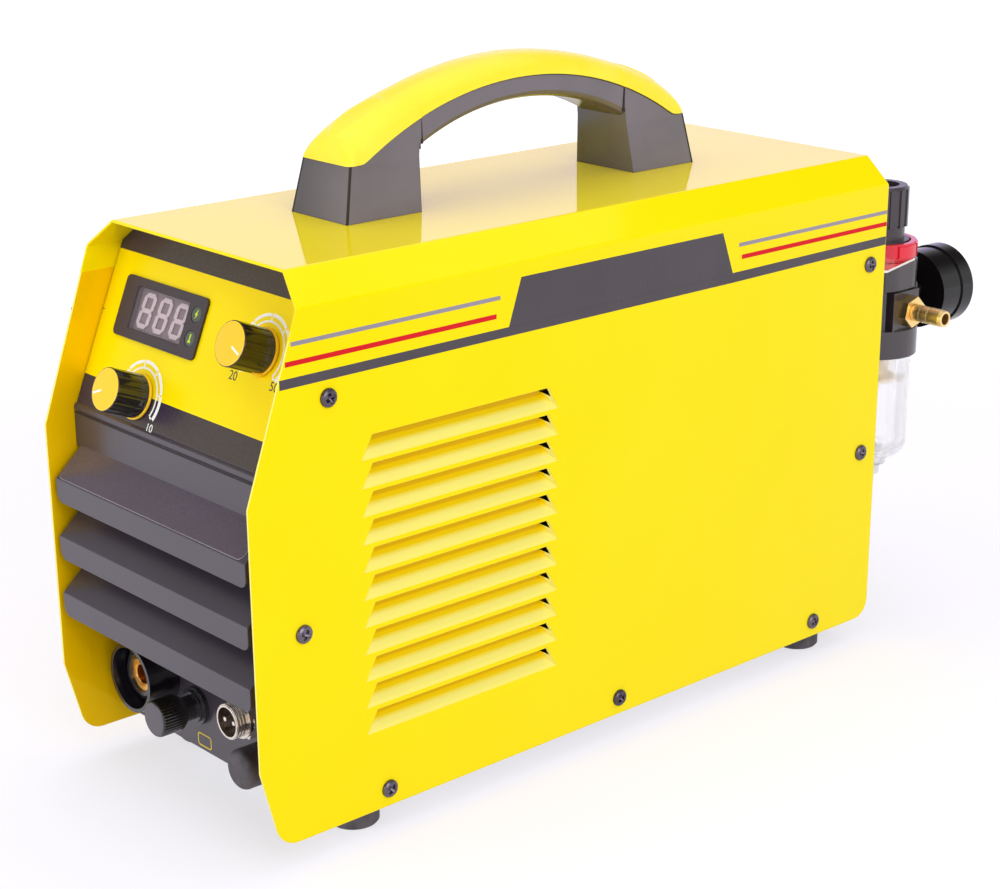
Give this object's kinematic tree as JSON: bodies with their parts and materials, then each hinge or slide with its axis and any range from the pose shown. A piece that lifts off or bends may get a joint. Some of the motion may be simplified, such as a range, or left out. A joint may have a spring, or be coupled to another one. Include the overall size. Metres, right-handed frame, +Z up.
{
  "type": "inverter plasma cutter",
  "caption": "Yellow sheet-metal plasma cutter with an angled control panel, bladed front, carry handle, quick sockets and a rear air filter regulator.",
  "frame": {"origin": "middle of the overall footprint, on the floor under the rubber feet", "axes": "+Z up, +Y along the cabinet from the control panel at the front to the air filter at the rear, +X across towards the side that is on the right when the control panel is faced"},
  "size_m": [0.1722, 0.4695, 0.3138],
  "materials": {
    "yellow_paint": "satin powder coat",
    "tray_steel": "zinc plated",
    "black_abs": "fine grain",
    "rear_paint": "satin powder coat",
    "label_film": "printed film",
    "foot_rubber": "matt",
    "black_screw": "black oxide",
    "grip_black": "fine grain",
    "grip_yellow": "satin",
    "zinc_screw": "zinc plated",
    "bezel_plastic": "satin",
    "window_acrylic": "tinted gloss",
    "digit_plastic": "satin",
    "lamp_lens": "translucent",
    "pot_metal": "nickel",
    "circuit_board": "solder mask",
    "knob_black": "gloss",
    "knob_yellow": "satin",
    "shaft_steel": "satin",
    "socket_black": "satin",
    "contact_brass": "turned",
    "nickel_shell": "nickel plated",
    "socket_insulator": "satin",
    "brass_fitting": "turned",
    "cap_rubber": "matt",
    "bracket_steel": "bright plated",
    "regulator_black": "semi-gloss",
    "ring_red": "gloss",
    "dial_white": "printed",
    "gauge_glass": "clear",
    "bowl_clear": "clear polycarbonate",
    "filter_sinter": "sintered",
    "fan_plastic": "satin",
    "guard_wire": "bright plated",
    "breaker_plastic": "satin",
    "heatsink_alloy": "extruded",
    "winding_copper": "varnished",
    "capacitor_sleeve": "sleeve",
    "valve_metal": "cast"
  },
  "bodies": {
    "chassis": {"top_cover": "yellow_paint", "base_tray": "tray_steel", "front_fascia": "black_abs", "rear_panel": "rear_paint", "control_label": "label_film", "rubber_feet": "foot_rubber", "panel_screws": "black_screw", "handle_base": "grip_black", "handle_cap": "grip_yellow", "handle_screws": "zinc_screw", "display_bezel": "bezel_plastic", "display_window": "window_acrylic", "display_digits": "digit_plastic", "indicator_lamps": "lamp_lens", "potentiometers": "pot_metal", "control_board": "circuit_board", "earth_socket_collar": "socket_black", "earth_socket_insert": "contact_brass", "pilot_post": "socket_black", "trigger_socket_shell": "nickel_shell", "trigger_socket_core": "socket_insulator", "trigger_socket_pins": "contact_brass", "torch_stud": "brass_fitting", "filter_bracket": "bracket_steel", "regulator_body": "regulator_black", "lock_ring": "ring_red", "gauge_case": "regulator_black", "gauge_dial": "dial_white", "gauge_lens": "gauge_glass", "hose_barb": "brass_fitting", "outlet_elbow": "socket_black", "gas_inlet": "brass_fitting", "filter_bowl": "bowl_clear", "filter_element": "filter_sinter", "fan_frame": "fan_plastic", "fan_guard": "guard_wire", "breaker_body": "breaker_plastic", "mains_gland": "socket_black", "main_board": "circuit_board", "heatsinks": "heatsink_alloy", "main_transformer": "winding_copper", "output_choke": "winding_copper", "bus_capacitors": "capacitor_sleeve", "solenoid_valve": "valve_metal", "hf_unit": "socket_black"},
    "current_dial": {"current_knob": "knob_black", "current_knob_cap": "knob_yellow", "current_shaft": "shaft_steel"},
    "gas_dial": {"gas_knob": "knob_black", "gas_knob_cap": "knob_yellow", "gas_shaft": "shaft_steel"},
    "pilot_nut": {"pilot_nut": "knob_black"},
    "torch_dust_cap": {"torch_cap": "cap_rubber"},
    "regulator_screw": {"regulator_spindle": "shaft_steel"},
    "regulator_grip": {"regulator_knob": "grip_black"},
    "needle": {"gauge_needle": "knob_black"},
    "fan": {"fan_rotor": "fan_plastic"},
    "switch_lever": {"breaker_lever": "knob_black"},
    "drain": {"drain_valve": "shaft_steel"}
  },
  "joints": [
    {"name": "current_turn", "type": "hinge", "parent": "chassis", "child": "current_dial", "pos_m": [0.0351, -0.20065, 0.21383], "axis": [0, -0.9259, 0.3778], "range_deg": [-22, 248]},
    {"name": "gas_turn", "type": "hinge", "parent": "chassis", "child": "gas_dial", "pos_m": [-0.0386, -0.21399, 0.18114], "axis": [0, -0.9259, 0.3778], "range_deg": [-248, 22]},
    {"name": "pilot_nut_turn", "type": "hinge", "parent": "chassis", "child": "pilot_nut", "pos_m": [-0.0284, -0.20675, 0.036], "axis": [0, -1, 0], "range_deg": [0, 720]},
    {"name": "torch_cap_pull", "type": "slide", "parent": "chassis", "child": "torch_dust_cap", "axis": [0, -1, 0], "range_m": [0, 0.022]},
    {"name": "regulator_turn", "type": "hinge", "parent": "chassis", "child": "regulator_screw", "pos_m": [0.0421, 0.18125, 0.2], "axis": [0, 0, 1], "range_deg": [-540, 540]},
    {"name": "regulator_pull", "type": "slide", "parent": "regulator_screw", "child": "regulator_grip", "axis": [0, 0, 1], "range_m": [0, 0.004]},
    {"name": "needle_turn", "type": "hinge", "parent": "chassis", "child": "needle", "pos_m": [0.0421, 0.22625, 0.1719], "axis": [0, -1, 0], "range_deg": [0, 270]},
    {"name": "fan_spin", "type": "hinge", "parent": "chassis", "child": "fan", "pos_m": [-0.0299, 0.13325, 0.076], "axis": [0, 1, 0], "continuous": true},
    {"name": "switch_throw", "type": "hinge", "parent": "chassis", "child": "switch_lever", "pos_m": [-0.0499, 0.14425, 0.198], "axis": [1, 0, 0], "range_deg": [0, 70]},
    {"name": "drain_press", "type": "slide", "parent": "chassis", "child": "drain", "axis": [0, 0, 1], "range_m": [0, 0.003], "stiffness_N_per_m": 1500}
  ]
}
